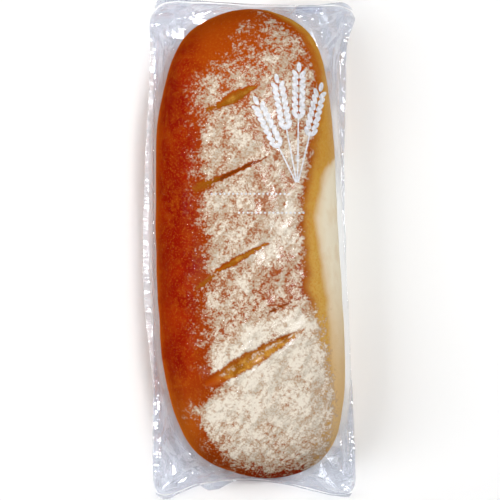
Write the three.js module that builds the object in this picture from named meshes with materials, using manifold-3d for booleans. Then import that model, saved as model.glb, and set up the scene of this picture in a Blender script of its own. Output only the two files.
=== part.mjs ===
// A long soft milk loaf in a clear, heat-sealed film bag, lying on its flat base.
// Millimetres: +X across the loaf, +Y along it, +Z up, origin at the middle of the base.
// The shut bag and the loaf in it are one closed solid. The film lies tight over the crust,
// stands off it along the sides and ends in four ears where the two end seals stick out.

import * as THREE from 'three';
import { mergeVertices } from 'three/addons/utils/BufferGeometryUtils.js';
import Module from 'manifold-3d';

// ---- The loaf, with the film on it -------------------------------------------------------

const LOAF_HEIGHT = 60;
const LOAF_SHOULDER = 17; // height of the widest line; below it the side turns in to the base
const LOAF_TOP_TIP = 144.2; // y of the nose at the upper end
const LOAF_BOTTOM_TIP = -138.8; // y of the nose at the lower end
const LOAF_HALF_WIDTH_TOP = 53; // the loaf is a little slimmer at its upper end
const LOAF_HALF_WIDTH_BOTTOM = 56;
const LOAF_TAPER_FROM = -45; // y where it is widest, and where the slimmer part begins
const LOAF_TAPER_TO = 80;
const TOP_NOSE_LENGTH = 90; // stretch over which each end rounds off
const BOTTOM_NOSE_LENGTH = 82;
const OUTLINE_POWER = 2.8; // above 2 gives blunter, squarer ends
const CROWN_POWER = 0.42; // below 0.5 gives steeper sides under a flatter crown
const LOAF_OFFSET = -2.4; // x of the centreline where it runs straight
const LOAF_BEND = 10.4; // how far the lower end swings towards +X
const LOAF_BEND_FROM = 70; // y where the bend begins
const BASE_SHARE = 0.84; // width of the flat base against the widest line

// ---- The bag's edge ----------------------------------------------------------------------

// The edge of the film as seen from above, round from the right side: x, y and height.
const FILM_EDGE = [
  // right side, up to the ear
  [58.0, 20, 21], [58.4, 85, 21], [60.6, 129, 17],
  // upper right ear, and the top seal drawn in over the nose
  [64.6, 137, 14], [60.5, 144, 15], [28, 144.8, 17], [2, 145.6, 18], [-30, 147.4, 15],
  // upper left ear, rounded
  [-52, 147, 13], [-60.4, 137, 14],
  // left side, which bellies out in the middle
  [-59.6, 126, 18], [-63.4, 30, 21], [-63.4, -30, 21], [-58.6, -76, 20], [-58.2, -136, 13],
  // lower left ear, and the bottom seal
  [-55.5, -149, 9.5], [-46.5, -148.4, 10], [-26, -140.6, 14], [20, -140.6, 14], [31, -143.6, 13],
  // lower right ear and back up the side
  [62, -148.2, 9.5], [64.2, -128, 14], [61.2, -65, 20],
];
const EDGE_THICKNESS = 2; // along the sides, where the film is folded on itself
const SEAL_HEIGHT = 8; // the seals hang down from the ends by this much
const SEAL_FROM = 126; // |y| where the hanging seal begins
const SEAL_TO = 140; // |y| where it has its full height

// ---- The scores in the crust, which the film dips into -----------------------------------

// Each runs from its lower left to its upper right end: x, y, x, y, width and depth.
const SCORES = [
  [-18, 82.8, 4.2, 94.8, 5, 1.6],
  [-22.8, 37.8, 10.2, 52.8, 3, 1.4],
  [-19.2, -13.8, 10.8, 3, 4.2, 1.6],
  [-24.6, -79.8, 30.6, -48, 9, 2.4],
  [5.4, -40.2, 32.4, -28.2, 2.2, 0.9],
];
const SCORE_STEPS = 14;
const SCORE_CLEARANCE = 1.5; // the cutter stands this far out of the crust

// ---- How finely the surface is divided ---------------------------------------------------

const EDGE_STEPS = 132; // points round the bag
const TOP_RINGS = 15; // rings from the edge to the crown
const UNDER_RINGS = 4; // rings from the edge down to the base
const INNER_RING = 0.03; // the innermost ring's share of the way out to the edge
const RAY_SAMPLES = 60; // points at which the crust under one ray is measured

const { clamp, lerp, smoothstep } = THREE.MathUtils;

/** x of the loaf's centreline at y. */
function centreline(y) {
  const along = Math.max(0, LOAF_BEND_FROM - y) / (LOAF_BEND_FROM - LOAF_BOTTOM_TIP);
  return LOAF_OFFSET + LOAF_BEND * along * along;
}

/** Half the loaf's width at y, before the ends round off. */
function halfWidth(y) {
  return lerp(
    LOAF_HALF_WIDTH_BOTTOM,
    LOAF_HALF_WIDTH_TOP,
    smoothstep(y, LOAF_TAPER_FROM, LOAF_TAPER_TO),
  );
}

/** 0 on the middle line of the loaf, 1 on its outline seen from above, and more outside it. */
function outwardness(x, y) {
  const across = Math.abs(x - centreline(y)) / halfWidth(y);
  const topNose = 1 - (LOAF_TOP_TIP - y) / TOP_NOSE_LENGTH;
  const bottomNose = 1 - (y - LOAF_BOTTOM_TIP) / BOTTOM_NOSE_LENGTH;
  const nose = Math.max(0, topNose, bottomNose);
  return across ** OUTLINE_POWER + nose ** 2;
}

/** Height of the crust over x, y, or null outside the loaf. */
function crustHeight(x, y) {
  const out = outwardness(x, y);
  if (out >= 1) return null;
  return LOAF_SHOULDER + (LOAF_HEIGHT - LOAF_SHOULDER) * (1 - out) ** CROWN_POWER;
}

/** The point on the loaf's middle line that a point of the edge looks in to. */
function middlePoint(edge) {
  const low = LOAF_BOTTOM_TIP + BOTTOM_NOSE_LENGTH * 0.75;
  const high = LOAF_TOP_TIP - TOP_NOSE_LENGTH * 0.75;
  const y = clamp(edge.y, low, high);
  return new THREE.Vector2(centreline(y), y);
}

/** The taut film over one ray: the upper hull of the film's edge and the crust under the ray. */
function tautFilm(edge, middle) {
  const hull = [];
  for (let i = 0; i <= RAY_SAMPLES; i += 1) {
    const inward = i / RAY_SAMPLES;
    const x = lerp(edge.x, middle.x, inward);
    const y = lerp(edge.y, middle.y, inward);
    const height = i === 0 ? edge.z : crustHeight(x, y);
    if (height === null) continue;
    while (hull.length > 1) {
      const [a, b] = hull.slice(-2);
      const turn = (b[0] - a[0]) * (height - a[1]) - (b[1] - a[1]) * (inward - a[0]);
      if (turn < 0) break;
      hull.pop();
    }
    hull.push([inward, height]);
  }
  return hull;
}

/** Height of a hull, a list of [place, height], at a place. */
function heightOn(hull, place) {
  const next = Math.max(1, hull.findIndex(([at]) => at >= place));
  const [a, b] = [hull[next - 1], hull[next]];
  return lerp(a[1], b[1], (place - a[0]) / (b[0] - a[0]));
}

/** Where a ray from the middle line to the edge leaves the loaf, as a share of its length. */
function loafShare(edge, middle) {
  let inside = 0;
  let outside = 1;
  for (let i = 0; i < 20; i += 1) {
    const share = (inside + outside) / 2;
    const out = outwardness(lerp(middle.x, edge.x, share), lerp(middle.y, edge.y, share));
    if (out < 1) inside = share;
    else outside = share;
  }
  return inside;
}

/** One ray of the bag's skin: points from the crown, over the edge and under to the base. */
function skinRay(edge) {
  const middle = middlePoint(edge);
  const film = tautFilm(edge, middle);
  const points = [];
  for (let ring = TOP_RINGS; ring >= 0; ring -= 1) {
    const out = Math.max(INNER_RING, Math.cos((Math.PI / 2) * (ring / TOP_RINGS)));
    points.push(new THREE.Vector3(
      lerp(middle.x, edge.x, out),
      lerp(middle.y, edge.y, out),
      heightOn(film, 1 - out),
    ));
  }
  const sealed = smoothstep(Math.abs(edge.y), SEAL_FROM, SEAL_TO);
  const lip = edge.z - lerp(EDGE_THICKNESS, SEAL_HEIGHT, sealed);
  const base = BASE_SHARE * loafShare(edge, middle);
  for (let ring = 0; ring <= UNDER_RINGS; ring += 1) {
    const turn = (Math.PI / 2) * (ring / UNDER_RINGS);
    const out = lerp(base, 1, Math.cos(turn));
    points.push(new THREE.Vector3(
      lerp(middle.x, edge.x, out),
      lerp(middle.y, edge.y, out),
      lip * (1 - Math.sin(turn)),
    ));
  }
  return points;
}

/** Closes a ring, counter-clockwise from above, with short triangles straight across it. */
function zipAcross(ring) {
  const count = ring.length;
  const top = ring.reduce((best, point, i) => (point.y > ring[best].y ? i : best), 0);
  let left = top + 1;
  let right = top + count - 1;
  const triangles = [[top, left, right]];
  while (right - left > 1) {
    const onLeft = ring[(left + 1) % count].y > ring[(right - 1) % count].y;
    const next = onLeft ? left + 1 : right - 1;
    triangles.push([left, next, right]);
    if (onLeft) left = next;
    else right = next;
  }
  return triangles.map((corners) => corners.map((corner) => corner % count));
}

/** A closed surface through rays of points: a band between neighbours, and a cap at each end. */
function closedSkin(rays) {
  const rows = rays[0].length;
  const index = [];
  const at = (ray, row) => (ray % rays.length) * rows + row;
  rays.forEach((_, ray) => {
    for (let row = 0; row < rows - 1; row += 1) {
      const [a, b] = [at(ray, row), at(ray + 1, row)];
      const [c, d] = [at(ray, row + 1), at(ray + 1, row + 1)];
      index.push(a, c, b, b, c, d);
    }
  });
  const cap = (row, upward) => {
    zipAcross(rays.map((points) => points[row])).forEach((triangle) => {
      const corners = triangle.map((ray) => at(ray, row));
      index.push(...(upward ? corners : corners.reverse()));
    });
  };
  cap(0, true);
  cap(rows - 1, false);
  const geometry = new THREE.BufferGeometry().setFromPoints(rays.flat());
  geometry.setIndex(index);
  return geometry;
}

/** The skin of the bag, before the scores are pressed into it. */
function bagSkin() {
  const points = FILM_EDGE.map(([x, y, z]) => new THREE.Vector3(x, y, z));
  const edge = new THREE.CatmullRomCurve3(points, true, 'centripetal');
  return closedSkin(edge.getSpacedPoints(EDGE_STEPS).slice(0, EDGE_STEPS).map(skinRay));
}

/** A cutter for one score: a spindle with a rounded V section that follows the crown. */
function scoreCutter([x0, y0, x1, y1, width, depth]) {
  const side = new THREE.Vector2(y0 - y1, x1 - x0).normalize().multiplyScalar(width / 2);
  const section = [[-1, null], [-0.6, -0.75], [0, -1], [0.6, -0.75], [1, null]];
  const index = [];
  const points = [];
  for (let step = 0; step <= SCORE_STEPS; step += 1) {
    const along = step / SCORE_STEPS;
    const swell = 0.06 + 0.94 * Math.sin(Math.PI * along) ** 0.7;
    const x = lerp(x0, x1, along);
    const y = lerp(y0, y1, along);
    section.forEach(([across, down]) => {
      const rise = down === null ? SCORE_CLEARANCE : down * depth * swell;
      points.push(new THREE.Vector3(
        x + side.x * across * swell,
        y + side.y * across * swell,
        crustHeight(x, y) + rise,
      ));
    });
    if (step === 0) continue;
    const last = (step - 1) * section.length;
    section.forEach((_, corner) => {
      const [a, b] = [last + corner, last + ((corner + 1) % section.length)];
      const [c, d] = [a + section.length, b + section.length];
      index.push(a, b, c, b, d, c);
    });
  }
  const end = SCORE_STEPS * section.length;
  for (let corner = 1; corner < section.length - 1; corner += 1) {
    index.push(0, corner + 1, corner, end, end + corner, end + corner + 1);
  }
  const geometry = new THREE.BufferGeometry().setFromPoints(points);
  geometry.setIndex(index);
  return geometry;
}

// ---- Solids ------------------------------------------------------------------------------

const wasm = await Module();
wasm.setup();

/** A closed three.js geometry as a solid that can be cut. */
function toSolid(geometry) {
  const bare = geometry.clone();
  bare.deleteAttribute('normal');
  bare.deleteAttribute('uv');
  const merged = mergeVertices(bare);
  return new wasm.Manifold(new wasm.Mesh({
    numProp: 3,
    vertProperties: new Float32Array(merged.attributes.position.array),
    triVerts: new Uint32Array(merged.index.array),
  }));
}

/** A cut solid as a three.js geometry, moved so that the middle of its base is the origin. */
function toGeometry(solid) {
  const mesh = solid.getMesh();
  const geometry = new THREE.BufferGeometry();
  geometry.setAttribute('position', new THREE.BufferAttribute(mesh.vertProperties, 3));
  geometry.setIndex(new THREE.BufferAttribute(mesh.triVerts, 1));
  geometry.computeBoundingBox();
  const { min, max } = geometry.boundingBox;
  geometry.translate(-(min.x + max.x) / 2, -(min.y + max.y) / 2, -min.z);
  geometry.computeVertexNormals();
  return geometry;
}

const loafInBag = SCORES.reduce(
  (solid, score) => solid.subtract(toSolid(scoreCutter(score))),
  toSolid(bagSkin()),
);

const filmOverCrust = new THREE.MeshStandardMaterial({
  color: 0xc08a54,
  roughness: 0.3,
  metalness: 0,
});

const baggedLoaf = new THREE.Mesh(toGeometry(loafInBag), filmOverCrust);
baggedLoaf.name = 'bagged_loaf';

const group = new THREE.Group();
group.add(baggedLoaf);

export default group;
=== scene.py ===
"""A long, soft milk loaf in a clear, heat-sealed film bag, lying on its flat base."""

import math

import bpy
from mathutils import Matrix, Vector
from mathutils.bvhtree import BVHTree


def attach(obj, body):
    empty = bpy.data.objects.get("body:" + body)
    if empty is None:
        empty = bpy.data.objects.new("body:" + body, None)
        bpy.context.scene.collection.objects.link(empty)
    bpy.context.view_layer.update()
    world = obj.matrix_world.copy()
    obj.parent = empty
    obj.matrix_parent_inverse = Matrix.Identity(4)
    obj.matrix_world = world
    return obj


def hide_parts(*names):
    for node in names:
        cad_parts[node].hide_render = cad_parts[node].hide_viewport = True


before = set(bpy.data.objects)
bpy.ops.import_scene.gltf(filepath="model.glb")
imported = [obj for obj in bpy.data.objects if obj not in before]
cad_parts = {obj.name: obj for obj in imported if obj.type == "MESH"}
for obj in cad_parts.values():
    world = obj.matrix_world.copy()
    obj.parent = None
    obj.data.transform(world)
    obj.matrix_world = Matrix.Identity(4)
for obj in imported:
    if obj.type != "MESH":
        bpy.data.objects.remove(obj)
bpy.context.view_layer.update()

MM = 0.001

# The loaf
LOAF_WIDTH = 111.0 * MM
LOAF_SHOULDER = 17.0 * MM  # height of its widest line
LOAF_HEIGHT = 59.4 * MM  # just under the film
TOP_NOSE = 88.0 * MM  # how long each rounded end is
BOTTOM_NOSE = 84.0 * MM
TOP_TIP = 144.2 * MM
BOTTOM_TIP = -137.8 * MM
UNDERSIDE = 26.6 * MM  # how deep the rounding under the shoulder would go without the flat base
SQUARENESS = 0.8  # 1 casts the block into a ball, 0 leaves it a block
LOAF_AXIS = -2.6 * MM  # x of the straight part
LOAF_BEND = 13.0 * MM  # how far the lower end swings to +X
TOP_BEND = 3.0 * MM  # and the upper end
TOP_SLIMNESS = 0.95
CRUST_GRID = 1.15 * MM  # size of the faces of the finished crust
CRUST_SWELL = 1.3 * MM  # how uneven the crust is
SWELL_SIZE = 30 * MM
BLOCK_GRID = 2.5 * MM  # size of the faces of the plain form, before it is bent
BASE_CUT = 0.4 * MM  # height at which the form is cut flat
BASE_FADE = (4 * MM, 12 * MM)  # the heights between which the unevenness sets in
SLIM_END = 20 * MM  # how much of the upper end is slimmed in full
SLIM_REACH = 160 * MM  # and how far down that fades out
BEND_END = 4 * MM  # how much of each end is swung in full
BOTTOM_BEND_REACH = 210 * MM
TOP_BEND_REACH = 70 * MM

# The scores, in millimetres: where each begins and ends, its width and its depth
SCORES = (
    ((-19.5, 82.7), (5.0, 95.9), 5.6, 1.0),
    ((-24.1, 37.8), (10.9, 53.8), 2.6, 1.2),
    ((-21.0, -14.1), (11.5, 4.1), 3.4, 1.1),
    ((-25.9, -79.9), (31.8, -46.7), 9.4, 1.5),
    ((5.1, -39.7), (32.1, -27.7), 1.4, 0.7),
)
SCORE_RISE = 0.6  # how fast a score widens from its lower end
SCORE_FALL = 0.85  # and narrows to its upper end
LIP_SHARE = 0.25  # height of the lip beside a score, as a share of the score's depth

# The film
FILM_GRID = 2.2 * MM  # size of its faces before the last subdivision
FILM_GAP = 0.35 * MM  # how far it keeps off the crust
FILM_BASE = 0.2 * MM  # height of its flat underside
FREE_GAP = 6 * MM  # how far off the crust it counts as wholly free
SIM_SCALE = 10  # the drape is worked out ten times as large, as cloth keeps 1 mm off what it meets
CROWN_SLACK = 0.004  # how much more film there is than a taut skin needs, over the crown
EDGE_SLACK = 0.035  # and at the sides and corners
FILM_SUCK = 0.3  # how hard the film is drawn on to the loaf
EDGE_HOLD = 0.5  # how firmly the folded edge keeps its place
EDGE_FROM = 57.5 * MM  # |x| where the folded edge begins
END_FROM = 6 * MM  # how much of the length is held at each end
BASE_HELD = 0.6 * MM  # the film is held fast below this height
CROWN_HEIGHTS = (30 * MM, 42 * MM)  # between them the loose film of the sides turns into the taut crown
FORM_SHARE = 0.12  # share of the loaf's faces that the drape needs
FORM_FRICTION = 5
DRAPE_FRAMES = 18
FILM_STRETCH = 40.0
FILM_CLOTH = {
    "quality": 4,
    "mass": 0.05,
    "tension_stiffness": FILM_STRETCH,
    "compression_stiffness": FILM_STRETCH,
    "shear_stiffness": FILM_STRETCH / 2,
    "bending_stiffness": 0.5,
    "tension_damping": 10,
    "compression_damping": 10,
    "bending_damping": 1,
    "air_damping": 3,
    "shrink_min": -CROWN_SLACK,
    "shrink_max": -EDGE_SLACK,
    "use_pressure": True,
    "uniform_pressure_force": -FILM_SUCK,
}
FOLD_FROM = 50.0 * MM  # |x| past which the side folds are sought
FOLD_STEP = 2.5 * MM
FOLD_REACH = 5.0 * MM  # over how much width the fold opens up
FOLD_MOST = 8.5 * MM  # how far in from the edge that ends at most
FOLD_THICKNESS = 0.15  # share of its height that the pressed fold keeps
SIDE_FROM = 128.0 * MM  # |y| where the sides give way to the corners
SIDE_FADE = 8 * MM
SIDE_RIDGE = ((-58.4 * MM, 84 * MM), (-55.4 * MM, -12 * MM))  # upper and lower end of a raised fold
RIDGE_RISE = 0.9 * MM
RIDGE_WIDTH = 1.5 * MM  # to each side of its line
RIDGE_SWAY = 0.5 * MM  # how far the line wanders
RIDGE_WAVES = 19  # and how often, in radians from end to end
CREASE_SIZE = 14.0 * MM  # how far apart the sharp creases are where the film stands free
CREASE_DEPTH = 1.5 * MM
CRINKLE_SIZE = 3.2 * MM
CRINKLE_DEPTH = 0.28 * MM

# The end seals, in millimetres: points along each rim, where the crimped band hangs from it
RIB_PITCH = 1.3
RIB_DEPTH = 0.45
BAND_DROP = 8.5
BAND_TEETH = 0.6
BAND_THICKNESS = 0.12
RIM_STEPS = 16  # steps along a rim from one of its points to the next
TOP_RIM = (  # each point, and by how many degrees the band is turned out there
    ((-57.0, 144.6, 12.0), 10), ((-53.0, 147.6, 13.0), 35), ((-46.0, 149.0, 13.6), 62),
    ((-39.0, 149.0, 14.2), 62), ((-34.0, 148.6, 15.0), 15), ((-22.0, 148.2, 16.4), 4),
    ((0.0, 146.9, 19.0), 0), ((22.0, 146.0, 18.4), 6), ((40.0, 146.1, 17.0), 4),
    ((54.0, 146.4, 15.4), 12), ((62.0, 144.0, 11.5), 20),
)
BOTTOM_RIM = (
    ((62.0, -147.4, 9.0), 20), ((54.0, -148.4, 10.6), 8), ((40.0, -146.0, 12.4), 4),
    ((24.0, -142.2, 14.0), 0), ((8.0, -139.8, 13.0), 4), ((-8.0, -139.4, 13.0), 4),
    ((-19.0, -140.2, 13.4), 34), ((-25.0, -141.2, 13.6), 34), ((-31.0, -142.4, 13.8), 0),
    ((-44.0, -147.2, 11.6), 6), ((-52.0, -148.8, 10.0), 20), ((-57.0, -146.6, 9.4), 12),
)
TOP_TAB = (((28.0, 145.4, 18.4), -100), ((43.0, 145.6, 17.2), -100))
TAB_DROP = 4.6

# The print, in millimetres
GRAIN_SIZE = (6.0, 2.7)  # length and width of a grain of wheat
GRAIN_STEP = 3.9
GRAIN_ASIDE = 2.1  # how far it stands off the middle of the ear
GRAIN_TURN = 0.55
EAR_PAIRS = 7
TIP_LEAD = 0.5  # how far the last grain is past the tip
DASH_SIZE = (2.8, 1.0)  # the stalks are rows of overlapping dashes
DASH_STEP = 1.9
DOT_SIZE = 1.3
DOT_STEP = 2.5
DOT_ROWS = {32.0: (-22.0, 19), 21.0: (-6.0, 16)}  # y of each row: its first x and how many
TIE_PLACE = Vector((28.0, 53.0))
TIE_TURNS = (-0.35, 0, 0.35)
TIE_SPREAD = 4
STALKS = (  # foot and tip of each
    ((26.5, 40.0), (4.0, 86.0)),
    ((27.3, 40.0), (16.0, 99.0)),
    ((28.0, 40.0), (29.0, 106.0)),
    ((28.7, 40.0), (42.0, 95.0)),
)
PRINT_FROM = 80 * MM  # the height from which it is projected down on to the film
INK_GAP = 0.15 * MM
INK_THICKNESS = 0.05 * MM


# ---- Small tools ----------------------------------------------------------------------------


def only(obj):
    """Selects one object and nothing else, and makes it the active one."""
    if bpy.context.object and bpy.context.object.mode != "OBJECT":
        bpy.ops.object.mode_set(mode="OBJECT")
    bpy.ops.object.select_all(action="DESELECT")
    obj.select_set(True)
    bpy.context.view_layer.objects.active = obj
    return obj


def edit(obj, pick):
    """Opens obj in edit mode with the vertices selected for which pick(co) is true."""
    only(obj)
    bpy.ops.object.mode_set(mode="EDIT")
    bpy.ops.mesh.select_all(action="DESELECT")
    bpy.ops.object.mode_set(mode="OBJECT")
    for vertex in obj.data.vertices:
        vertex.select = pick(vertex.co)
    bpy.ops.object.mode_set(mode="EDIT")


def done():
    """Closes edit mode."""
    bpy.ops.object.mode_set(mode="OBJECT")


def everywhere(co):
    return True


def finish_with(obj, kind, **values):
    """Adds a modifier, sets its values and applies it."""
    only(obj)
    modifier = obj.modifiers.new(kind.lower(), kind)
    for name, value in values.items():
        setattr(modifier, name, value)
    bpy.ops.object.modifier_apply(modifier=modifier.name)


def lumps(name, size):
    """A soft cloud pattern that a Displace modifier reads."""
    texture = bpy.data.textures.new(name, "CLOUDS")
    texture.noise_scale = size
    texture.noise_depth = 2
    return texture


def copy_of(obj, name):
    """A copy of obj with a mesh of its own."""
    twin = obj.copy()
    twin.data = obj.data.copy()
    twin.name = twin.data.name = name
    twin.parent = None
    bpy.context.scene.collection.objects.link(twin)
    for key in list(twin.keys()):
        del twin[key]
    return twin


def stretch(obj, pick, value, centre=(0, 0, 0), **more):
    """Resizes the part of obj that pick chooses."""
    edit(obj, pick)
    bpy.ops.transform.resize(value=value, center_override=centre, **more)
    done()


def shift(obj, pick, value, **more):
    """Moves the part of obj that pick chooses."""
    edit(obj, pick)
    bpy.ops.transform.translate(value=value, **more)
    done()


def weigh(obj, name, weight):
    """A vertex group in which each vertex has the weight that weight(co) gives."""
    group = obj.vertex_groups.new(name=name)
    for vertex in obj.data.vertices:
        value = weight(vertex.co)
        if value > 0:
            group.add([vertex.index], min(value, 1), "REPLACE")
    return group.name


def smooth(low, high, value):
    """0 at low, 1 at high, and an S curve between them; low may be the larger."""
    share = min(max((value - low) / (high - low), 0), 1)
    return share * share * (3 - 2 * share)


# ---- The loaf -------------------------------------------------------------------------------


def score_lens(along):
    """Width of a score as a share of its widest, from its lower end (0) to its upper end (1)."""
    widest = SCORE_RISE / (SCORE_RISE + SCORE_FALL)
    most = widest**SCORE_RISE * (1 - widest) ** SCORE_FALL
    return along**SCORE_RISE * (1 - along) ** SCORE_FALL / most


def carve_score(loaf, number, start, end, width, depth):
    """Sinks one score into the crown, with a low swollen lip along both sides."""
    begin = Vector(start) * MM
    reach = Vector(end) * MM - begin

    def inside(co):
        """How far in from the score's edge a point is, in score half widths at its widest."""
        offset = co.xy - begin
        along = offset.dot(reach) / reach.length_squared
        if not 0 < along < 1 or co.z < 2 * LOAF_SHOULDER:
            return None
        across = abs(offset.x * reach.y - offset.y * reach.x) / reach.length
        return score_lens(along) - across / (width * MM / 2)

    def groove(co):
        share = inside(co)
        return 0 if share is None else smooth(-0.35, 0.8, share)

    def lip(co):
        share = inside(co)
        return 0 if share is None else smooth(-1.1, -0.3, share) * smooth(0.35, -0.2, share)

    sunk = weigh(loaf, f"score_{number}", groove)
    raised = weigh(loaf, f"lip_{number}", lip)
    finish_with(loaf, "DISPLACE", vertex_group=sunk, strength=-depth * MM, mid_level=0)
    finish_with(loaf, "DISPLACE", vertex_group=raised, strength=LIP_SHARE * depth * MM, mid_level=0)


def shape_loaf():
    """The loaf: a block cast round, drawn out long, cut flat below, slimmer on top and bent."""
    bpy.ops.object.select_all(action="DESELECT")
    bpy.ops.mesh.primitive_cube_add(size=2)
    loaf = bpy.context.object
    loaf.name = "loaf"
    edit(loaf, everywhere)
    bpy.ops.mesh.subdivide(number_cuts=3)
    done()
    finish_with(loaf, "CAST", cast_type="SPHERE", factor=SQUARENESS, use_radius_as_size=False, size=1)
    finish_with(loaf, "SUBSURF", levels=3)
    reach = max(vertex.co.x for vertex in loaf.data.vertices)
    for pick, size in (
        (everywhere, (1 / reach,) * 3),
        (everywhere, (LOAF_WIDTH / 2, 1, 1)),
        (lambda co: co.y > 0, (1, TOP_NOSE, 1)),
        (lambda co: co.y < 0, (1, BOTTOM_NOSE, 1)),
        (lambda co: co.z > 0, (1, 1, LOAF_HEIGHT - LOAF_SHOULDER)),
        (lambda co: co.z < 0, (1, 1, UNDERSIDE)),
    ):
        stretch(loaf, pick, size)
    shift(loaf, lambda co: co.y > 1e-6, (0, TOP_TIP - TOP_NOSE, 0))
    shift(loaf, lambda co: co.y < 1e-6, (0, BOTTOM_TIP + BOTTOM_NOSE, 0))
    edit(loaf, everywhere)
    bpy.ops.transform.translate(value=(LOAF_AXIS, 0, LOAF_SHOULDER))
    bpy.ops.mesh.bisect(plane_co=(0, 0, BASE_CUT), plane_no=(0, 0, 1), clear_inner=True, use_fill=True)
    bpy.ops.mesh.quads_convert_to_tris()
    done()
    finish_with(loaf, "REMESH", mode="VOXEL", voxel_size=BLOCK_GRID)
    stretch(
        loaf, lambda co: co.y > TOP_TIP - SLIM_END, (TOP_SLIMNESS, 1, 1), centre=(LOAF_AXIS, 0, 0),
        use_proportional_edit=True, proportional_edit_falloff="SMOOTH", proportional_size=SLIM_REACH,
    )
    shift(
        loaf, lambda co: co.y < BOTTOM_TIP + BEND_END, (LOAF_BEND, 0, 0),
        use_proportional_edit=True, proportional_edit_falloff="SHARP", proportional_size=BOTTOM_BEND_REACH,
    )
    shift(
        loaf, lambda co: co.y > TOP_TIP - BEND_END, (TOP_BEND, 0, 0),
        use_proportional_edit=True, proportional_edit_falloff="SMOOTH", proportional_size=TOP_BEND_REACH,
    )
    finish_with(loaf, "REMESH", mode="VOXEL", voxel_size=CRUST_GRID)
    above = weigh(loaf, "above_base", lambda co: smooth(*BASE_FADE, co.z))
    finish_with(
        loaf, "DISPLACE", vertex_group=above, texture=lumps("swell", SWELL_SIZE), texture_coords="LOCAL",
        strength=CRUST_SWELL, mid_level=0.6,
    )
    for number, (start, end, width, depth) in enumerate(SCORES, 1):
        carve_score(loaf, number, start, end, width, depth)
    loaf.vertex_groups.clear()
    only(loaf)
    bpy.ops.object.shade_smooth()
    return loaf


# ---- The film -------------------------------------------------------------------------------


def drape_film(loaf):
    """The bag: the taut skin of the CAD solid, with a little too much film in it, settled on the loaf."""
    film = copy_of(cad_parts["bagged_loaf"], "film_bag")
    film.data.materials.clear()
    edit(film, everywhere)
    bpy.ops.mesh.remove_doubles(threshold=1e-5)
    done()
    finish_with(film, "REMESH", mode="VOXEL", voxel_size=FILM_GRID)
    edit(film, everywhere)
    bpy.ops.mesh.vertices_smooth(factor=0.5, repeat=3)
    done()
    finish_with(
        film, "SHRINKWRAP", target=loaf, wrap_method="NEAREST_SURFACEPOINT",
        wrap_mode="OUTSIDE", offset=2 * FILM_GAP,
    )
    settle(film, loaf)
    stretch(film, lambda co: co.z < FILM_BASE, (1, 1, 0), centre=(0, 0, FILM_BASE))
    finish_with(film, "SUBSURF", levels=1)
    only(film)
    bpy.ops.object.shade_smooth()
    return film


def settle(film, loaf):
    """Runs the drape of the film over the loaf and applies it."""
    form = copy_of(loaf, "loaf_form")
    finish_with(form, "DECIMATE", ratio=FORM_SHARE)
    for piece in (film, form):
        stretch(piece, everywhere, (SIM_SCALE,) * 3)
    form.modifiers.new("collision", "COLLISION")
    form.collision.thickness_outer = FILM_GAP * SIM_SCALE / 2
    form.collision.cloth_friction = FORM_FRICTION
    reach = max(vertex.co.y for vertex in film.data.vertices)

    def held(co):
        """1 on the base, which is held fast, and less on the folded edge and at the two ends."""
        if co.z < BASE_HELD * SIM_SCALE:
            return 1
        on_edge = abs(co.x) > EDGE_FROM * SIM_SCALE or abs(co.y) > reach - END_FROM * SIM_SCALE
        return EDGE_HOLD if on_edge else 0

    def loose(co):
        """1 where the film is loose, at the sides and corners, and 0 over the crown."""
        return 1 - smooth(CROWN_HEIGHTS[0] * SIM_SCALE, CROWN_HEIGHTS[1] * SIM_SCALE, co.z)

    pinned = weigh(film, "pinned", held)
    cloth = film.modifiers.new("cloth", "CLOTH")
    for name, value in FILM_CLOTH.items():
        setattr(cloth.settings, name, value)
    cloth.settings.vertex_group_mass = pinned
    cloth.settings.vertex_group_shrink = weigh(film, "loose", loose)
    cloth.collision_settings.distance_min = FILM_GAP * SIM_SCALE / 2
    cloth.collision_settings.collision_quality = 2
    cloth.collision_settings.use_self_collision = False
    cloth.point_cache.frame_end = DRAPE_FRAMES
    scene = bpy.context.scene
    for number in range(1, DRAPE_FRAMES + 1):
        scene.frame_set(number)
    only(film)
    bpy.ops.object.modifier_apply(modifier="cloth")
    scene.frame_set(1)
    bpy.data.objects.remove(form)
    stretch(film, everywhere, (1 / SIM_SCALE,) * 3)
    film.vertex_groups.clear()


def gaps_to(piece, loaf):
    """How far each point of a piece stands off the loaf: 0 touching, 1 wholly free."""
    nearest = BVHTree.FromObject(loaf, bpy.context.evaluated_depsgraph_get())
    return [min(nearest.find_nearest(vertex.co)[3] / FREE_GAP, 1) for vertex in piece.data.vertices]


def fold_sides(film, loaf):
    """Presses the film flat along the bag's two sides, where it is folded, as far in as the loaf allows."""
    for side in (-1, 1):
        near = [vertex for vertex in film.data.vertices if side * vertex.co.x > FOLD_FROM]
        crust = {}
        for vertex in loaf.data.vertices:
            spot = round(vertex.co.y / FOLD_STEP)
            crust[spot] = max(crust.get(spot, 0), side * vertex.co.x)
        rims = {}
        for vertex in near:
            rims.setdefault(round(vertex.co.y / FOLD_STEP), []).append(vertex.co.copy())
        for spot, places in rims.items():
            out = max(side * place.x for place in places)
            heights = [place.z for place in places if side * place.x > out - FOLD_STEP / 2]
            free = min(out - crust.get(spot, 0), FOLD_MOST)
            rims[spot] = (out, (min(heights) + max(heights)) / 2, max(FOLD_REACH, free))
        for vertex in near:
            out, middle, reach = rims[round(vertex.co.y / FOLD_STEP)]
            share = smooth(reach - FOLD_REACH, reach, out - side * vertex.co.x)
            share = max(share, smooth(SIDE_FROM, SIDE_FROM + SIDE_FADE, abs(vertex.co.y)))
            share = FOLD_THICKNESS + (1 - FOLD_THICKNESS) * share
            vertex.co.z = middle + (vertex.co.z - middle) * share


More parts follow.
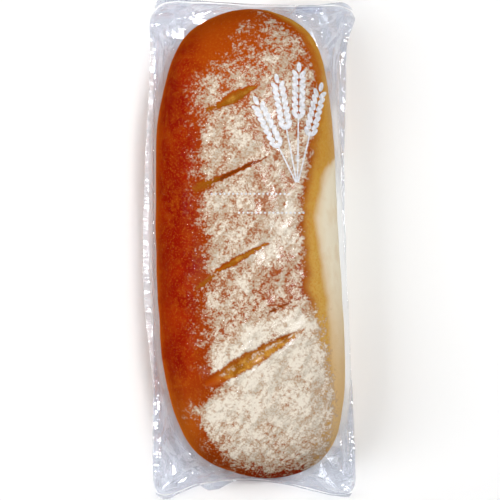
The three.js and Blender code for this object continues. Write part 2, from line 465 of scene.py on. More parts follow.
def crease_film(film, loaf):
    """Sharp creases and fine crinkles, deepest where the film stands free of the loaf and off the table."""
    gaps = gaps_to(film, loaf)
    free = film.vertex_groups.new(name="free")
    for vertex, gap in zip(film.data.vertices, gaps):
        weight = smooth(0.35, 1.0, gap) * smooth(1.0 * MM, 5 * MM, vertex.co.z)
        weight *= 0.25 + 0.75 * max(vertex.normal.z, 0)
        if weight > 0:
            free.add([vertex.index], weight, "REPLACE")
    creases = bpy.data.textures.new("creases", "VORONOI")
    creases.noise_scale = CREASE_SIZE
    for texture, depth in ((creases, CREASE_DEPTH), (lumps("crinkles", CRINKLE_SIZE), CRINKLE_DEPTH)):
        finish_with(
            film, "DISPLACE", vertex_group="free", texture=texture, texture_coords="LOCAL",
            strength=depth, mid_level=0.5,
        )
    film.vertex_groups.clear()

    def ridge(co):
        """1 on the line of the raised fold along the left side."""
        (upper_x, upper_y), (lower_x, lower_y) = SIDE_RIDGE
        if not lower_y < co.y < upper_y:
            return 0
        share = (co.y - lower_y) / (upper_y - lower_y)
        line = lower_x + share * (upper_x - lower_x) + RIDGE_SWAY * math.sin(share * RIDGE_WAVES)
        return smooth(RIDGE_WIDTH, 0, abs(co.x - line)) * smooth(10 * MM, 16 * MM, co.z)

    finish_with(film, "DISPLACE", vertex_group=weigh(film, "ridge", ridge), strength=RIDGE_RISE, mid_level=0)
    film.vertex_groups.clear()


def mark_looseness(piece, loaf):
    """Keeps on each point of a piece of film how far it stands off the loaf."""
    looseness = piece.data.attributes.new("looseness", "FLOAT", "POINT")
    looseness.data.foreach_set("value", gaps_to(piece, loaf))


# ---- The end seals --------------------------------------------------------------------------


def crimp_band(name, rim, drop):
    """A crimped band of fused film with a toothed edge, hanging from a rim and turned about it as given."""
    bpy.ops.object.select_all(action="DESELECT")
    bpy.ops.mesh.primitive_grid_add(x_subdivisions=4, y_subdivisions=6, size=1)
    band = bpy.context.object
    band.name = name
    edit(band, everywhere)
    bpy.ops.transform.resize(value=(RIB_PITCH * MM, drop * MM, 1), center_override=(0, 0, 0))
    bpy.ops.transform.rotate(value=math.radians(-90), orient_axis="X", center_override=(0, 0, 0))
    done()
    reach = max(vertex.co.z for vertex in band.data.vertices)
    middle = RIB_PITCH * MM / 2
    shift(band, everywhere, (middle, 0, -reach))

    def on_rib(co):
        return abs(co.x - middle) < 0.1 * MM

    shift(band, lambda co: on_rib(co) and co.z < -1 * MM, (0, RIB_DEPTH * MM, 0))
    shift(band, lambda co: on_rib(co) and co.z < (0.1 - drop) * MM, (0, 0, -BAND_TEETH * MM))

    line = bpy.data.curves.new(name + "_rim", "CURVE")
    line.dimensions = "3D"
    line.twist_mode = "Z_UP"
    spline = line.splines.new("BEZIER")
    spline.bezier_points.add(len(rim) - 1)
    for knot, (place, turn) in zip(spline.bezier_points, rim):
        knot.co = Vector(place) * MM
        knot.tilt = math.radians(turn)
        knot.handle_left_type = knot.handle_right_type = "AUTO"
    spline.resolution_u = RIM_STEPS
    route = bpy.data.objects.new(name + "_rim", line)
    bpy.context.scene.collection.objects.link(route)
    length = spline.calc_length()
    finish_with(
        band, "ARRAY", count=round(length / (RIB_PITCH * MM)), use_relative_offset=False,
        use_constant_offset=True, constant_offset_displace=(RIB_PITCH * MM, 0, 0),
        use_merge_vertices=True, merge_threshold=0.02 * MM,
    )
    finish_with(band, "CURVE", object=route, deform_axis="POS_X")
    bpy.data.objects.remove(route)
    finish_with(band, "SOLIDIFY", thickness=BAND_THICKNESS * MM, offset=0)
    only(band)
    bpy.ops.object.shade_smooth_by_angle(angle=math.radians(40))
    return band


# ---- The print ------------------------------------------------------------------------------


def ink_field(name, length, width, corners):
    """A flat round-ended field of ink, as long along X as given."""
    bpy.ops.object.select_all(action="DESELECT")
    bpy.ops.mesh.primitive_circle_add(vertices=corners, radius=0.5, fill_type="TRIFAN")
    field = bpy.context.object
    field.name = name
    stretch(field, everywhere, (length * MM, width * MM, 1))
    return field


def print_sheaf(film):
    """White print on the film: a sheaf of wheat ears on bound stalks, over two rows of dots."""
    grain = ink_field("grain", *GRAIN_SIZE, 12)
    dash = ink_field("dash", *DASH_SIZE, 8)
    dot = ink_field("dot", DOT_SIZE, DOT_SIZE, 8)
    fields = []

    def lay(field, place, turn=0.0):
        """Sets a copy of a field down at a place seen from above."""
        copy = copy_of(field, "print")
        copy.location = (place[0] * MM, place[1] * MM, PRINT_FROM)
        copy.rotation_euler.z = turn
        fields.append(copy)

    for foot, tip in STALKS:
        foot, tip = Vector(foot), Vector(tip)
        way = (tip - foot).normalized()
        turn = math.atan2(way.y, way.x)
        aside = Vector((-way.y, way.x))
        ear_foot = tip - way * (EAR_PAIRS * GRAIN_STEP)
        for number in range(int((ear_foot - foot).length / DASH_STEP) + 1):
            lay(dash, foot + way * (number * DASH_STEP), turn)
        for number in range(EAR_PAIRS):
            for side in (-1, 1):
                spot = ear_foot + way * (number * GRAIN_STEP) + aside * (side * GRAIN_ASIDE)
                lay(grain, spot, turn + side * GRAIN_TURN)
        lay(grain, tip + way * TIP_LEAD, turn)
    for turn in TIE_TURNS:
        lay(dash, TIE_PLACE + Vector((0, turn * TIE_SPREAD)), turn)
    for row, (start, count) in DOT_ROWS.items():
        for number in range(count):
            lay(dot, (start + number * DOT_STEP, row))
    for field in (grain, dash, dot):
        bpy.data.objects.remove(field)
    only(fields[0])
    for field in fields:
        field.select_set(True)
    bpy.ops.object.join()
    ink = only(bpy.context.object)
    ink.name = "print"
    bpy.ops.object.transform_apply()
    finish_with(
        ink, "SHRINKWRAP", target=film, wrap_method="PROJECT", use_project_z=True,
        use_positive_direction=False, use_negative_direction=True, wrap_mode="ABOVE_SURFACE", offset=INK_GAP,
    )
    finish_with(ink, "SOLIDIFY", thickness=INK_THICKNESS, offset=1)
    return ink


# ---- Node tools -----------------------------------------------------------------------------


def add_node(tree, kind, inputs=(), **settings):
    """Adds a shader node, sets its properties, and fills or links its inputs by name or number."""
    node = tree.nodes.new("ShaderNode" + kind)
    for name, value in settings.items():
        setattr(node, name, value)
    for name, value in dict(inputs).items():
        if isinstance(value, bpy.types.NodeSocket):
            tree.links.new(value, node.inputs[name])
        else:
            node.inputs[name].default_value = value
    return node


def maths(tree, operation, first, second=0.0, third=0.0):
    node = add_node(tree, "Math", {0: first, 1: second, 2: third}, operation=operation)
    return node.outputs[0]


def times(tree, first, second):
    return maths(tree, "MULTIPLY", first, second)


def minus(tree, first, second):
    return maths(tree, "SUBTRACT", first, second)


def parts(tree, vector):
    """The x, y and z of a vector, or the channels of a colour."""
    return add_node(tree, "SeparateXYZ", {0: vector}).outputs


def step(tree, value, low, high, start=0.0, end=1.0):
    """Goes from start to end on an S curve as value goes from low to high."""
    inputs = {"Value": value, "From Min": low, "From Max": high, "To Min": start, "To Max": end}
    return add_node(tree, "MapRange", inputs, interpolation_type="SMOOTHSTEP").outputs[0]


def blend(tree, share, first, second):
    """Mixes two colours."""
    node = add_node(tree, "Mix", data_type="RGBA")
    for socket, value in ((node.inputs[0], share), (node.inputs[6], first), (node.inputs[7], second)):
        if isinstance(value, bpy.types.NodeSocket):
            tree.links.new(value, socket)
        else:
            socket.default_value = value
    return node.outputs[2]


def noise(tree, place, size, detail=2.0, roughness=0.5, distortion=0.0):
    """Cloud noise whose lumps are about size millimetres wide."""
    inputs = {
        "Vector": place, "Scale": 1 / size, "Detail": detail,
        "Roughness": roughness, "Distortion": distortion,
    }
    return add_node(tree, "TexNoise", inputs).outputs["Fac"]


def curve(tree, value, points, low=-150.0, high=150.0):
    """A smooth curve through (value, result) points; every result lies between low and high."""
    first, last = points[0][0], points[-1][0]
    places = [((x - first) / (last - first), (y - low) / (high - low)) for x, y in points]
    node = add_node(tree, "FloatCurve", {"Value": step_linear(tree, value, first, last, 0, 1)})
    line = node.mapping.curves[0]
    for place in places[1:-1]:
        line.points.new(*place)
    line.points[0].location = places[0]
    line.points[-1].location = places[-1]
    node.mapping.update()
    return step_linear(tree, node.outputs[0], 0, 1, low, high)


def step_linear(tree, value, low, high, start, end):
    inputs = {"Value": value, "From Min": low, "From Max": high, "To Min": start, "To Max": end}
    return add_node(tree, "MapRange", inputs, clamp=False).outputs[0]


def new_group(name, inputs, outputs):
    """A shader node group with its sockets; gives back the tree and its input and output nodes."""
    tree = bpy.data.node_groups.new(name, "ShaderNodeTree")
    for title, kind, value in inputs:
        socket = tree.interface.new_socket(title, in_out="INPUT", socket_type=kind)
        if value is not None:
            socket.default_value = value
    for title, kind in outputs:
        tree.interface.new_socket(title, in_out="OUTPUT", socket_type=kind)
    return tree, tree.nodes.new("NodeGroupInput").outputs, tree.nodes.new("NodeGroupOutput").inputs


def use_group(tree, group, **inputs):
    """Places a group in a tree, with its inputs given by name (spaces as underscores)."""
    node = tree.nodes.new("ShaderNodeGroup")
    node.node_tree = group
    for name, value in inputs.items():
        socket = node.inputs[name.replace("_", " ")]
        if isinstance(value, bpy.types.NodeSocket):
            tree.links.new(value, socket)
        else:
            socket.default_value = value
    return node.outputs


def place_in_mm(tree):
    """Object coordinates, in millimetres."""
    place = add_node(tree, "TexCoord").outputs["Object"]
    return add_node(tree, "VectorMath", {0: place, "Scale": 1 / MM}, operation="SCALE").outputs[0]


def new_material(name):
    """An empty node material; gives back the material, its tree and the output's surface socket."""
    material = bpy.data.materials.new(name)
    material.use_nodes = True
    tree = material.node_tree
    tree.nodes.clear()
    return material, tree, tree.nodes.new("ShaderNodeOutputMaterial").inputs["Surface"]


def colour(red, green, blue):
    """A display colour, 0 to 255, as the linear value that a shader takes."""

    def linear(value):
        value /= 255
        return value / 12.92 if value <= 0.04045 else ((value + 0.055) / 1.055) ** 2.4

    return (linear(red), linear(green), linear(blue), 1.0)


# ---- Finishes -------------------------------------------------------------------------------

FLOUR = colour(236, 224, 205)
# FLOUR_SHADE is painted shade: the grey of the hollows between lumps of dense flour
FLOUR_SHADE = colour(200, 186, 166)
FLOUR_THIN = colour(182, 140, 102)
BAKED_DARK = colour(140, 14, 0)
BAKED_RED = colour(160, 36, 0)
BAKED_MID = colour(170, 68, 2)
BAKED_LIGHT = colour(196, 108, 22)
BAKED_CROWN = colour(150, 54, 4)
BAKED_TOP = colour(172, 66, 2)
OCHRE = colour(206, 162, 80)
OCHRE_DEEP = colour(200, 146, 56)
PALE_CRUMB = colour(240, 226, 198)
TAN = colour(216, 178, 124)
FILM_MILK = colour(204, 211, 230)
# whiter film along the left fold: partly its extra layers of film, partly painted light against the loaf's
# shadow
FILM_FOLD_PAINTED_LIGHT = colour(250, 251, 255)
INK = colour(244, 246, 252)
INK_THIN = colour(226, 226, 230)
SCORE_DARK = colour(112, 48, 8)
# SCORE_EDGE is the crust's browner colour at a score's edges, and also the painted shade along the upper side
# of wide scores
SCORE_EDGE = colour(158, 70, 8)
SCORE_GOLD = colour(150, 92, 16)

# Scores narrower than the first are a dark line, wider than the second they hold flour, and the last is faint
NARROW_SCORE = 3
WIDE_SCORE = 6
FAINT_SCORE = 2

# Golden crust laid bare beside the scores: where each patch begins and ends, and its width, in millimetres
SCORE_STAINS = (
    ((-33.0, 34.5), (-17.0, 41.5), 4.6),
    ((-26.0, 80.5), (-10.0, 86.0), 4.0),
    ((-32.0, -24.0), (-12.0, -9.0), 2.2),
)

# Painted shade of creases on the left flank, darker bands where the mesh has no crease: where each begins and
# ends, and its width, in millimetres
CREASE_SHADE_BANDS = (
    ((-53.7, -32.0), (-26.0, -4.0), 5.0),
    ((-50.0, -13.0), (-38.0, 20.0), 11.0),
    ((-52.0, -66.0), (-30.0, -40.0), 9.0),
    ((-47.0, 34.0), (-33.0, 70.0), 12.0),
)

# The facets of crumpled film: the way they run and their length in millimetres
FACETS = (((1, 0.35, 0.5), 8.5), ((-0.4, 1, 0.3), 6.5), ((0.8, -0.7, -0.4), 12))
FACET_SLOPE = 0.17
PLEAT_LENGTH = 1.6  # short pleats along the bag's sides
PLEAT_SLOPE = 0.2
BOTH_FACES = 1.8  # free film mirrors on both of its faces

# In millimetres along the loaf (y) and across it (x)
FLOUR_LEFT = ((-150, -10), (-133, -12), (-122, -17), (-104, -27), (-95, -31), (-80, -16), (-70, -23),
              (-55, -26), (0, -26), (60, -29), (94, -29), (121, -18), (131, -10), (150, 2))
OCHRE_LEFT = ((-150, 36), (-34, 38), (-20, 36), (8, 34), (20, 34), (41, 36), (59, 40), (78, 41),
              (95, 42), (113, 40), (126, 34), (136, 23), (140, 16), (150, 2))
OCHRE_RIGHT = ((-150, 46), (-34, 46), (-20, 44), (8, 40), (20, 39), (41, 43), (50, 47), (60, 60),
               (90, 70), (150, 70))
FLOUR_RIGHT = ((-150, 44), (-120, 47), (-90, 49), (-60, 44), (-40, 41), (-20, 60), (150, 60))
FLOUR_AMOUNT = ((-150, 0.0), (-140, 0.0), (-131, 0.4), (-120, 0.58), (-90, 0.78), (-62, 0.88), (-45, 0.76),
                (-28, 0.42), (-10, 0.5), (5, 0.6), (20, 0.54), (45, 0.56), (75, 0.5), (95, 0.42),
                (120, 0.34), (134, 0.24), (141, 0.0), (150, 0.0))

FLOUR_SLANT = 0.45  # how far its bands run uphill to the right, midway along the loaf
POWDER_LUMPS = (3.4, 12.0, 2.6)  # in millimetres
POWDER_GRAINS = ((1.3, 0.2, 0.22), (0.75, 0.26, 0.2))  # size, unevenness and how clearly they part


def powder_group():
    """Powder dusted on a surface: how much of the surface it hides, and its tone, partly how thickly its
    grains lie and partly a painted shade of its lumps and hollows.
    """
    tree, given, result = new_group(
        "powder",
        (("Place", "NodeSocketVector", None), ("Amount", "NodeSocketFloat", 0.5)),
        (("Cover", "NodeSocketFloat"), ("Tone", "NodeSocketFloat")),
    )
    turned = add_node(tree, "Mapping", {"Vector": given["Place"], "Rotation": (0.6, 0.4, 0.7)}).outputs[0]
    smear = {"Vector": given["Place"], "Rotation": (0, 0, math.radians(55)), "Scale": (2.6, 1, 1)}
    smeared = add_node(tree, "Mapping", smear, vector_type="TEXTURE").outputs[0]
    local = given["Amount"]
    for where, size, share in zip((turned, turned, smeared), POWDER_LUMPS, (0.75, 1.0, 0.7)):
        lump = noise(tree, where, size, detail=2)
        local = maths(tree, "MULTIPLY_ADD", minus(tree, lump, 0.5), share, local)
    level = maths(tree, "MULTIPLY_ADD", minus(tree, local, 0.5), 1.25, 0.42)
    for size, share, gap in POWDER_GRAINS:
        inputs = {"Vector": given["Place"], "Scale": 1 / size}
        cell = add_node(tree, "TexVoronoi", inputs, voronoi_dimensions="2D", feature="F1").outputs
        chance = minus(tree, parts(tree, cell["Color"])[0], 0.5)
        level = maths(tree, "MULTIPLY_ADD", chance, 2 * share, level)
        level = maths(tree, "MULTIPLY_ADD", minus(tree, 0.45, cell["Distance"]), gap, level)
    veil = step(tree, local, 0.4, 1.0, 0, 0.7)
    cover = maths(tree, "MAXIMUM", veil, step_linear(tree, level, 0.0, 1.0, 0, 1))
    cover = times(tree, cover, step(tree, given["Amount"], 0.0, 0.12))
    tree.links.new(cover, result["Cover"])
    # painted shade: broad grey streaks between the lumps of flour, which the bump does not raise
    painted_lump_shade = noise(tree, smeared, 6.0, detail=3)
    tone = maths(tree, "MULTIPLY_ADD", minus(tree, level, 0.7), 0.16, painted_lump_shade)
    tree.links.new(step(tree, tone, 0.34, 0.62), result["Tone"])
    return tree


def score_group():
    """A score on the crown: 1 inside its lens-shaped outline, with how far across and along it a point is."""
    tree, given, result = new_group(
        "score",
        (("Place", "NodeSocketVector", None), ("Start", "NodeSocketVector", None),
         ("End", "NodeSocketVector", None), ("Width", "NodeSocketFloat", 4.0),
         ("Wander", "NodeSocketFloat", 0.0), ("Soft", "NodeSocketFloat", 0.5)),
        (("Inside", "NodeSocketFloat"), ("Across", "NodeSocketFloat"), ("Along", "NodeSocketFloat")),
    )

    def vector(operation, first, second, output=0):
        return add_node(tree, "VectorMath", {0: first, 1: second}, operation=operation).outputs[output]

    flat = vector("MULTIPLY", given["Place"], (1, 1, 0))
    offset = vector("SUBTRACT", flat, given["Start"])
    reach = vector("SUBTRACT", given["End"], given["Start"])
    length = vector("LENGTH", reach, (0, 0, 0), "Value")
    squared = times(tree, length, length)
    along = maths(tree, "DIVIDE", vector("DOT_PRODUCT", offset, reach, "Value"), squared)
    along = add_node(tree, "Clamp", {0: along, 1: 0.001, 2: 0.999}).outputs[0]
    turned = parts(tree, vector("CROSS_PRODUCT", reach, offset))[2]
    across = maths(tree, "ADD", maths(tree, "DIVIDE", turned, length), given["Wander"])
    widest = SCORE_RISE / (SCORE_RISE + SCORE_FALL)
    most = widest**SCORE_RISE * (1 - widest) ** SCORE_FALL
    rise = maths(tree, "POWER", along, SCORE_RISE)
    fall = maths(tree, "POWER", minus(tree, 1.0, along), SCORE_FALL)
    lens = maths(tree, "DIVIDE", times(tree, rise, fall), 2 * most)
    half = times(tree, lens, given["Width"])
    inside = minus(tree, half, maths(tree, "ABSOLUTE", across))
    on_line = maths(tree, "LESS_THAN", maths(tree, "ABSOLUTE", minus(tree, along, 0.5)), 0.498)
    softness = times(tree, given["Soft"], -1.0)
    inside = times(tree, step(tree, inside, softness, given["Soft"]), on_line)
    tree.links.new(inside, result["Inside"])
    tree.links.new(maths(tree, "DIVIDE", across, maths(tree, "MAXIMUM", half, 0.05)), result["Across"])
    tree.links.new(along, result["Along"])
    return tree


def crust_finish():
    """Browned crust, darkest on the left, floured on the crown, pale where it baked against a neighbour."""
    material, tree, surface = new_material("floured_crust")
    place = place_in_mm(tree)
    wander = add_node(tree, "TexNoise", {"Vector": place, "Scale": 1 / 9, "Detail": 3.0}).outputs["Color"]
    wander = add_node(tree, "VectorMath", {0: wander, 1: (0.5, 0.5, 0.5)}, operation="SUBTRACT").outputs[0]
    wavering = add_node(
        tree, "VectorMath", {0: wander, 1: (9, 9, 0), 2: place}, operation="MULTIPLY_ADD",
    ).outputs[0]
    x, y = parts(tree, wavering)[:2]
    straight_x, _, height = parts(tree, place)

    # browned crust: redder and darker on the flank, lighter towards the rim and both ends, brown on the crown
    broad = noise(tree, place, 26, detail=3)
    mottle = noise(tree, place, 5, detail=4, roughness=0.6)
    turned = add_node(tree, "Mapping", {"Vector": place, "Rotation": (0.5, 0.3, 0.8)}).outputs[0]
    fine = noise(tree, turned, 1.2, detail=3, roughness=0.65)
    baked = blend(tree, step(tree, broad, 0.38, 0.62), BAKED_DARK, BAKED_RED)
    baked = blend(tree, step(tree, mottle, 0.42, 0.66, 0, 0.55), baked, BAKED_MID)
    baked = blend(tree, step(tree, height, 40, 24, 0, 0.85), baked, BAKED_MID)
    baked = blend(tree, step(tree, y, -60, -112, 0, 0.5), baked, BAKED_LIGHT)
    baked = blend(tree, step(tree, y, 108, 134, 0, 0.4), baked, BAKED_MID)
    low_end = times(tree, step(tree, y, -118, -130, 0, 0.8), step(tree, x, -14, 10))
    crown = blend(tree, step(tree, y, 45, 100), BAKED_CROWN, BAKED_TOP)
    baked = blend(tree, step(tree, x, -38, -22), baked, crown)
    baked = blend(tree, step(tree, height, 33, 12, 0, 0.8), baked, BAKED_LIGHT)
    baked = blend(tree, low_end, baked, BAKED_DARK)
    score = score_group()

    def along_line(start, end, width, **more):
        return use_group(tree, score, Place=place, Start=(*start, 0), End=(*end, 0), Width=width, **more)

    # painted shade of the flank's creases, darkening towards BAKED_DARK
    for start, end, width in CREASE_SHADE_BANDS:
        out = along_line(start, end, width, Soft=width / 2)
        baked = blend(tree, times(tree, out["Inside"], 0.75), baked, BAKED_DARK)
    baked = blend(tree, step(tree, fine, 0.5, 0.74, 0, 0.55), baked, BAKED_LIGHT)

    # the ochre band and the pale flank to its right
    band_left = curve(tree, y, OCHRE_LEFT)
    band_right = curve(tree, y, OCHRE_RIGHT)
    past_left = minus(tree, x, band_left)
    ripple = step_linear(tree, noise(tree, place, 16, detail=1), 0, 1, -2.0, 2.0)
    past_right = maths(tree, "ADD", minus(tree, straight_x, band_right), ripple)
    ochre = blend(tree, step(tree, y, -30, 100), OCHRE, OCHRE_DEEP)
    ochre = blend(tree, step(tree, noise(tree, place, 5, detail=3), 0.4, 0.7, 0, 0.4), ochre, OCHRE_DEEP)
    low_side = times(tree, step(tree, height, 44, 16, 0, 0.85), step(tree, y, 118, 92))
    ochre = blend(tree, low_side, ochre, TAN)
    ochre = blend(tree, step(tree, fine, 0.45, 0.7, 0, 0.5), ochre, BAKED_LIGHT)
    body = blend(tree, step(tree, past_left, -6, 4), baked, ochre)
    pale = blend(tree, step(tree, y, 0, -90), PALE_CRUMB, TAN)
    pale = blend(tree, step(tree, noise(tree, place, 9, detail=3), 0.45, 0.7, 0, 0.25), pale, TAN)
    pale = blend(tree, step(tree, past_right, 6, 0, 0, 0.5), pale, TAN)
    body = blend(tree, step(tree, past_right, -2.2, 2.4), body, pale)

    # scores: dark along the upper edge, where wide ones carry a painted shade under their upper lip, golden
    # below, with flour caught in the middle
    body_scored = body
    scored = None
    wobble = step_linear(tree, noise(tree, turned, 2.6, detail=4, roughness=0.6), 0, 1, -1.8, 1.8)
    for start, end, width, _ in SCORES:
        out = along_line(start, end, width, Wander=wobble, Soft=0.5 + 0.08 * width)
        if width < NARROW_SCORE:
            aside = maths(tree, "ABSOLUTE", out["Across"])
            tone = blend(tree, step(tree, aside, 1.0, 0.2), SCORE_EDGE, SCORE_DARK)
            free = times(tree, out["Inside"], 0.25 if width < FAINT_SCORE else 1.0)
        else:
            wide = width > WIDE_SCORE
            tone = blend(tree, step(tree, mottle, 0.36, 0.56 if wide else 0.8), SCORE_GOLD, OCHRE_DEEP)
            tone = blend(tree, step(tree, fine, 0.4, 0.7, 0, 0.6), tone, SCORE_EDGE)
            # painted shade: the upper half of a wide score darkens to SCORE_EDGE, as if under its upper lip
            tone = blend(tree, step(tree, out["Across"], 0.1, 0.8, 0, 0.75), tone, SCORE_EDGE)
            tone = blend(tree, step(tree, out["Across"], -0.6, -1.1, 0, 0.7), tone, SCORE_EDGE)
            tone = blend(tree, step(tree, out["Along"], 0.3, 0.04), tone, BAKED_MID)
            middle = maths(tree, "ABSOLUTE", minus(tree, out["Across"], 0.1))
            caught = step(tree, middle, 0.1, 0.45, 0.62 if wide else 1, 1.0)
            free = times(tree, out["Inside"], caught)
        body_scored = blend(tree, out["Inside"], body_scored, tone)
        scored = free if scored is None else maths(tree, "MAXIMUM", scored, free)
    for start, end, width in SCORE_STAINS:
        out = along_line(start, end, width, Wander=wobble, Soft=width / 2)
        stain = times(tree, out["Inside"], step(tree, fine, 0.3, 0.6, 0.5, 1.0))
        body_scored = blend(tree, times(tree, stain, 0.8), body_scored, SCORE_GOLD)
        scored = maths(tree, "MAXIMUM", scored, times(tree, stain, 0.6))

    # flour: how much lies at each place, then its grains
    slant = times(tree, step(tree, y, -104, -70), step(tree, y, 40, 10, 0, FLOUR_SLANT))
    slanted = maths(tree, "MULTIPLY_ADD", minus(tree, 12.0, x), slant, y)
    amount = curve(tree, slanted, FLOUR_AMOUNT, 0.0, 1.0)
    past_flour = minus(tree, x, curve(tree, y, FLOUR_LEFT))
    thin = times(tree, step(tree, past_flour, -16, -2, 0, 0.1), step(tree, height, 14, 26))
    amount = maths(tree, "MAXIMUM", thin, times(tree, amount, step(tree, past_flour, -6, 8)))
    fade_right = times(tree, step(tree, past_left, -8, 4), step(tree, y, -45, -30))
    amount = minus(tree, amount, times(tree, fade_right, 0.9))
    bare_top = times(tree, step(tree, y, 95, 120), step(tree, x, 8, -8, 0, 0.16))
    amount = minus(tree, amount, bare_top)
    past_end = minus(tree, x, curve(tree, y, FLOUR_RIGHT))
    amount = times(tree, amount, step(tree, past_end, 6, -6))
    amount = times(tree, amount, step(tree, height, 14, 26))
    amount = minus(tree, amount, times(tree, scored, 0.85))
    powder = use_group(tree, powder_group(), Place=place, Amount=amount)
    film_of_flour = step_linear(tree, powder["Cover"], 0, 0.35, 0, 0.9)
    film_of_flour = maths(tree, "MAXIMUM", film_of_flour, step(tree, amount, 0.35, 0.65, 0, 0.45))
    finish = blend(tree, film_of_flour, body_scored, FLOUR_THIN)
    # dense flour goes from FLOUR to FLOUR_SHADE, the painted shade of its hollows
    dusted = blend(tree, powder["Tone"], FLOUR_SHADE, FLOUR)
    finish = blend(tree, step_linear(tree, powder["Cover"], 0.15, 0.9, 0, 1), finish, dusted)

    rough = step(tree, powder["Cover"], 0, 1, 0.5, 0.95)
    relief = maths(tree, "MULTIPLY_ADD", powder["Cover"], 0.5, times(tree, fine, 0.5))
    bump = add_node(tree, "Bump", {"Height": relief, "Distance": 0.2 * MM, "Strength": 0.4})
    shader = add_node(tree, "BsdfPrincipled", {
        "Base Color": finish, "Roughness": rough, "Normal": bump.outputs[0], "Specular IOR Level": 0.0,
    })
    tree.links.new(shader.outputs[0], surface)
    return material


def crumple(tree, place):
    """Height of crumpled film: flat facets that meet in straight creases, with short pleats at the sides."""
    warp = add_node(tree, "TexNoise", {"Vector": place, "Scale": 1 / 42, "Detail": 0.0}).outputs["Color"]
    warped = add_node(
        tree, "VectorMath", {0: warp, 1: (40, 40, 40), 2: place}, operation="MULTIPLY_ADD",
    ).outputs[0]
    height = times(tree, noise(tree, place, 14, detail=1, distortion=0.6), 1.4)
    for direction, length in FACETS:
        run = add_node(tree, "VectorMath", {0: warped, 1: direction}, operation="DOT_PRODUCT").outputs[1]
        height = maths(tree, "MULTIPLY_ADD", maths(tree, "PINGPONG", run, length), FACET_SLOPE, height)
    x, y = parts(tree, place)[:2]
    along = maths(tree, "MULTIPLY_ADD", noise(tree, place, 6, detail=2), 9, y)
    pleats = maths(tree, "PINGPONG", along, PLEAT_LENGTH)
    edge = times(tree, step(tree, maths(tree, "ABSOLUTE", x), 55, 59), PLEAT_SLOPE)
    return maths(tree, "MULTIPLY_ADD", pleats, edge, height)


def film_finish():
    """Clear, glossy film: it mirrors more the flatter it is seen, and is milky only where it stands free."""
    material, tree, surface = new_material("clear_film")
    place = place_in_mm(tree)
    loose = add_node(tree, "Attribute", attribute_name="looseness").outputs["Fac"]
    standing = step(tree, loose, 0.35, 0.9)
    x, y, z = parts(tree, place)
    crown = times(tree, step(tree, z, 48, 56), step(tree, x, -8, 4))
    relief = times(tree, crumple(tree, place), step_linear(tree, standing, 0, 1, 0.35, 1.0))
    bump = add_node(tree, "Bump", {"Height": relief, "Distance": 1.0 * MM, "Strength": 1.0}).outputs[0]
    from_middle = maths(tree, "ABSOLUTE", y)
    # along the left fold the film is milkier and near white: partly the fold's extra layers, partly painted
    # light that offsets the loaf's shadow there
    fold = times(tree, step(tree, x, -56.5, -58.5), step(tree, from_middle, 132, 118))
    haze = maths(tree, "MULTIPLY_ADD", fold, 0.3, step_linear(tree, standing, 0, 1, 0.003, 0.3))
    milky = add_node(tree, "BsdfPrincipled", {
        "Base Color": blend(tree, fold, FILM_MILK, FILM_FOLD_PAINTED_LIGHT), "Roughness": 0.5, "Normal": bump,
        "Specular IOR Level": 0.0,
    })
    clear = add_node(tree, "BsdfTransparent", {"Color": (0.955, 0.967, 0.985, 1)})
    gloss = add_node(tree, "BsdfPrincipled", {
        "Base Color": (0.95, 0.96, 1.0, 1), "Metallic": 1.0, "Normal": bump,
        "Roughness": step_linear(tree, crown, 0, 1, 0.05, 0.14),
    })
    fresnel = add_node(tree, "Fresnel", {"IOR": 1.55, "Normal": bump})
    mirror = maths(tree, "MINIMUM", fresnel.outputs[0], step_linear(tree, standing, 0, 1, 0.07, 0.16))
    touching = step_linear(tree, crown, 0, 1, 0.01, 0.2)
    share = maths(tree, "MAXIMUM", touching, times(tree, standing, BOTH_FACES))
    shine = times(tree, mirror, share)
    see = add_node(tree, "MixShader", {0: haze, 1: clear.outputs[0], 2: milky.outputs[0]})
    whole = add_node(tree, "MixShader", {0: shine, 1: see.outputs[0], 2: gloss.outputs[0]})
    path = add_node(tree, "LightPath").outputs
    passing = maths(tree, "MAXIMUM", path["Is Shadow Ray"], path["Is Diffuse Ray"])
    lit = add_node(tree, "MixShader", {0: passing, 1: whole.outputs[0], 2: clear.outputs[0]})
    tree.links.new(lit.outputs[0], surface)
    return material


def print_finish():
    """Thin white ink, a little uneven, that lets some of what is behind it through."""
    material, tree, surface = new_material("white_print")
    place = place_in_mm(tree)
    worn = noise(tree, place, 2.0, detail=3)
    shader = add_node(tree, "BsdfPrincipled", {
        "Base Color": blend(tree, worn, INK_THIN, INK), "Roughness": step(tree, worn, 0.3, 0.7, 0.35, 0.6),
        "Alpha": step(tree, worn, 0.3, 0.65, 0.62, 0.86), "Specular IOR Level": 0.3,
    })
    tree.links.new(shader.outputs[0], surface)
    return material


def floor_finish():
    material, tree, surface = new_material("pale_table")
    shader = add_node(tree, "BsdfPrincipled", {
        "Base Color": (0.93, 0.93, 0.93, 1), "Roughness": 0.8, "Specular IOR Level": 0.1,
    })
    tree.links.new(shader.outputs[0], surface)
    return material


# ---- The piece ------------------------------------------------------------------------------

loaf = shape_loaf()
loaf.data.materials.append(crust_finish())
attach(loaf, "root")

film = drape_film(loaf)
fold_sides(film, loaf)
crease_film(film, loaf)
seals = [
    crimp_band("top_seal", TOP_RIM, BAND_DROP),
    crimp_band("bottom_seal", BOTTOM_RIM, BAND_DROP),
    crimp_band("seal_tab", TOP_TAB, TAB_DROP),
]
clear = film_finish()
for piece in (film, *seals):
    mark_looseness(piece, loaf)
    piece.data.materials.append(clear)
    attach(piece, "root")
    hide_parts("bagged_loaf")
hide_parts("bagged_loaf")

ink = print_sheaf(film)
ink.data.materials.append(print_finish())
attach(ink, "root")
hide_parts("bagged_loaf")


# ---- Floor, light and camera ----------------------------------------------------------------


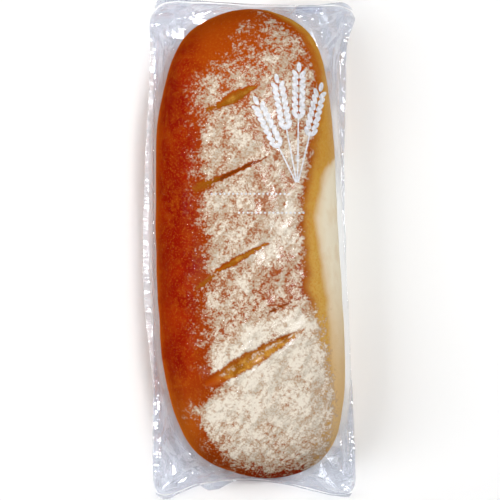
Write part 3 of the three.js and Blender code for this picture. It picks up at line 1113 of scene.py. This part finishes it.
FLOOR_SIZE = 6.0
FLOOR_DROP = 0.3 * MM  # how far it lies below the base, so that the two don't mix

# Name, place, what it is aimed at, size, power, whether the film mirrors it and whether it lights
SOFTBOXES = (
    ("key", (0.42, 0.27, 1.12), (0, 0, 0), (0.7, 0.42), 8.5, True, True),
    ("strip", (0.45, 0.13, 1.15), (0, 0, 0), (0.10, 0.16), 3.5, True, True),
    ("left_glint", (-0.72, 0.14, 1.0), (-0.06, 0.03, 0), (0.42, 0.5), 38, True, False),
    ("fill", (-0.85, -0.1, 0.75), (0, 0, 0), (0.3, 0.7), 8, False, True),
    ("right_fill", (0.95, -0.2, 0.5), (0, 0, 0), (0.4, 0.8), 0.8, False, True),
)

# The camera looks straight down; its frame is as wide as given at the height given
CAMERA_HEIGHT = 1.4
CAMERA_ASIDE = (0.00033, -0.00069)
SENSOR_WIDTH = 36
FRAME_WIDTH = 0.3
FRAME_HEIGHT = 0.018


def lay_floor():
    bpy.ops.object.select_all(action="DESELECT")
    bpy.ops.mesh.primitive_plane_add(size=FLOOR_SIZE, location=(0, 0, -FLOOR_DROP))
    floor = bpy.context.object
    floor.name = "floor"
    floor.data.materials.append(floor_finish())


def add_softbox(name, place, aim, size, power, mirrored, lighting):
    """A rectangular light; the film may leave it unmirrored, or it may only show as a mirrored glint."""
    light = bpy.data.lights.new(name, "AREA")
    light.shape = "RECTANGLE"
    light.size, light.size_y = size
    light.energy = power
    holder = bpy.data.objects.new(name, light)
    bpy.context.scene.collection.objects.link(holder)
    holder.visible_glossy = mirrored
    holder.visible_diffuse = lighting
    holder.location = place
    holder.rotation_euler = (Vector(aim) - Vector(place)).to_track_quat("-Z", "Y").to_euler()


def set_camera():
    camera = bpy.data.objects.new("camera", bpy.data.cameras.new("camera"))
    bpy.context.scene.collection.objects.link(camera)
    camera.data.sensor_width = SENSOR_WIDTH
    camera.data.lens = SENSOR_WIDTH * (CAMERA_HEIGHT - FRAME_HEIGHT) / FRAME_WIDTH
    camera.data.clip_start = 0.05
    camera.location = (*CAMERA_ASIDE, CAMERA_HEIGHT)
    bpy.context.scene.camera = camera


def light_tent():
    """A plain white studio around the piece, brightest at the horizon; the film mirrors it much dimmer."""
    world = bpy.data.worlds.new("studio")
    bpy.context.scene.world = world
    world.use_nodes = True
    tree = world.node_tree
    direction = add_node(tree, "TexCoord").outputs["Generated"]
    rise = parts(tree, direction)[2]
    lit = step(tree, rise, 0.0, 0.6, 1.0, 0.35)
    ring = maths(tree, "LESS_THAN", maths(tree, "ABSOLUTE", minus(tree, rise, 0.3)), 0.09)
    mirrored = maths(tree, "MULTIPLY_ADD", ring, 7.0, step(tree, rise, 0.0, 0.5, 0.9, 0.35))
    glossy = add_node(tree, "LightPath").outputs["Is Glossy Ray"]
    change = minus(tree, mirrored, lit)
    strength = maths(tree, "MULTIPLY_ADD", glossy, change, lit)
    tree.links.new(strength, tree.nodes["Background"].inputs["Strength"])


lay_floor()
for softbox in SOFTBOXES:
    add_softbox(*softbox)
light_tent()
bpy.context.scene.view_settings.view_transform = "Standard"
set_camera()
